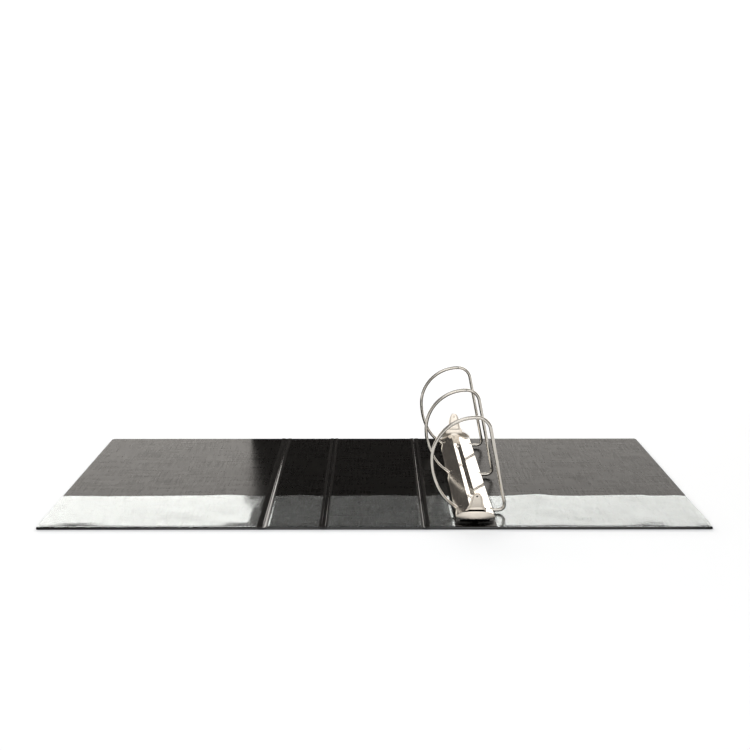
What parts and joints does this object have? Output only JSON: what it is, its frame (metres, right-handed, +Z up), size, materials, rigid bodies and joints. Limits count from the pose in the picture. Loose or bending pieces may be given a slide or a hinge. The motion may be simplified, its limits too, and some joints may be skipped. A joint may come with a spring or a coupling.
{
  "type": "ring binder",
  "caption": "Black view binder lying open: hinged covers with clear sleeves and pockets, slant-D rings on the back cover, and a trigger at each end.",
  "frame": {"origin": "centre of the open binder's underside, on the surface that it lies on", "axes": "+X across the spine towards the free edge of the back cover, +Y from the foot to the head of the sheets, +Z up out of the inside"},
  "size_m": [0.735, 0.292, 0.1173],
  "materials": {
    "outer_vinyl": "black vinyl, semi-gloss, fine grain",
    "inner_vinyl": "black vinyl embossed with a linen weave",
    "clear_film": "clear soft film, glossy, slightly wavy",
    "chipboard": "grey-brown solid board",
    "polished_nickel": "bright nickel plate on steel",
    "ring_nickel": "bright nickel plate on steel wire",
    "satin_nickel": "warm satin nickel plate, pressed sheet",
    "blade_steel": "plated spring steel",
    "rivet_steel": "plated steel"
  },
  "bodies": {
    "front_cover": {"front_overlay": "clear_film", "front_outer_skin": "outer_vinyl", "front_board": "chipboard", "front_inner_skin": "inner_vinyl", "front_pocket": "clear_film"},
    "front_strip": {"strip_overlay": "clear_film", "strip_outer_skin": "outer_vinyl", "strip_board": "chipboard", "strip_inner_skin": "inner_vinyl", "strip_pocket": "clear_film"},
    "spine": {"spine_overlay": "clear_film", "spine_outer_skin": "outer_vinyl", "spine_board": "chipboard", "spine_inner_skin": "inner_vinyl", "spine_pocket": "clear_film"},
    "back_cover": {"back_overlay": "clear_film", "back_outer_skin": "outer_vinyl", "back_board": "chipboard", "back_inner_skin": "inner_vinyl", "back_pocket_inner": "clear_film", "back_pocket": "clear_film", "ring_housing": "polished_nickel", "rivet_near": "rivet_steel", "rivet_far": "rivet_steel", "trigger_pin_near": "rivet_steel", "trigger_pin_far": "rivet_steel"},
    "back_web": {"back_web": "outer_vinyl"},
    "strip_web": {"strip_web": "outer_vinyl"},
    "front_web": {"front_web": "outer_vinyl"},
    "left_blade": {"left_blade": "blade_steel", "ring_left_1": "ring_nickel", "ring_left_2": "ring_nickel", "ring_left_3": "ring_nickel"},
    "right_blade": {"right_blade": "blade_steel", "ring_right_1": "ring_nickel", "ring_right_2": "ring_nickel", "ring_right_3": "ring_nickel"},
    "trigger_near": {"trigger_near": "satin_nickel"},
    "trigger_far": {"trigger_far": "satin_nickel"}
  },
  "joints": [
    {"name": "back_web_bend", "type": "hinge", "parent": "back_cover", "child": "back_web", "pos_m": [0.05805, 0, 0.0007], "axis": [0, 1, 0], "range_deg": [0, 45]},
    {"name": "spine_bend", "type": "hinge", "parent": "back_web", "child": "spine", "pos_m": [0.05345, 0, 0.0007], "axis": [0, 1, 0], "range_deg": [0, 45]},
    {"name": "strip_web_bend", "type": "hinge", "parent": "spine", "child": "strip_web", "pos_m": [-0.05345, 0, 0.0007], "axis": [0, 1, 0], "range_deg": [0, 45]},
    {"name": "strip_bend", "type": "hinge", "parent": "strip_web", "child": "front_strip", "pos_m": [-0.05805, 0, 0.0007], "axis": [0, 1, 0], "range_deg": [0, 38]},
    {"name": "front_web_bend", "type": "hinge", "parent": "front_strip", "child": "front_web", "pos_m": [-0.11895, 0, 0.0007], "axis": [0, 1, 0], "range_deg": [0, 17.7]},
    {"name": "front_cover_bend", "type": "hinge", "parent": "front_web", "child": "front_cover", "pos_m": [-0.12605, 0, 0.0007], "axis": [0, 1, 0], "range_deg": [0, 17.7]},
    {"name": "ring_opening", "type": "hinge", "parent": "back_cover", "child": "left_blade", "pos_m": [0.0915, 0, 0.00515], "axis": [0, 1, 0], "range_deg": [-6.5, 0]},
    {"name": "right_blade_rock", "type": "hinge", "parent": "back_cover", "child": "right_blade", "pos_m": [0.1295, 0, 0.00515], "axis": [0, 1, 0], "range_deg": [0, 6.5]},
    {"name": "trigger_near_press", "type": "hinge", "parent": "back_cover", "child": "trigger_near", "pos_m": [0.1105, -0.126, 0.00945], "axis": [1, 0, 0], "range_deg": [0, 20]},
    {"name": "trigger_far_press", "type": "hinge", "parent": "back_cover", "child": "trigger_far", "pos_m": [0.1105, 0.126, 0.00945], "axis": [1, 0, 0], "range_deg": [-20, 0]}
  ],
  "couplings": [
    {"joint": "right_blade_rock", "follows": "ring_opening", "ratio": -1},
    {"joint": "trigger_near_press", "follows": "ring_opening", "ratio": -3.0769},
    {"joint": "trigger_far_press", "follows": "ring_opening", "ratio": 3.0769}
  ]
}
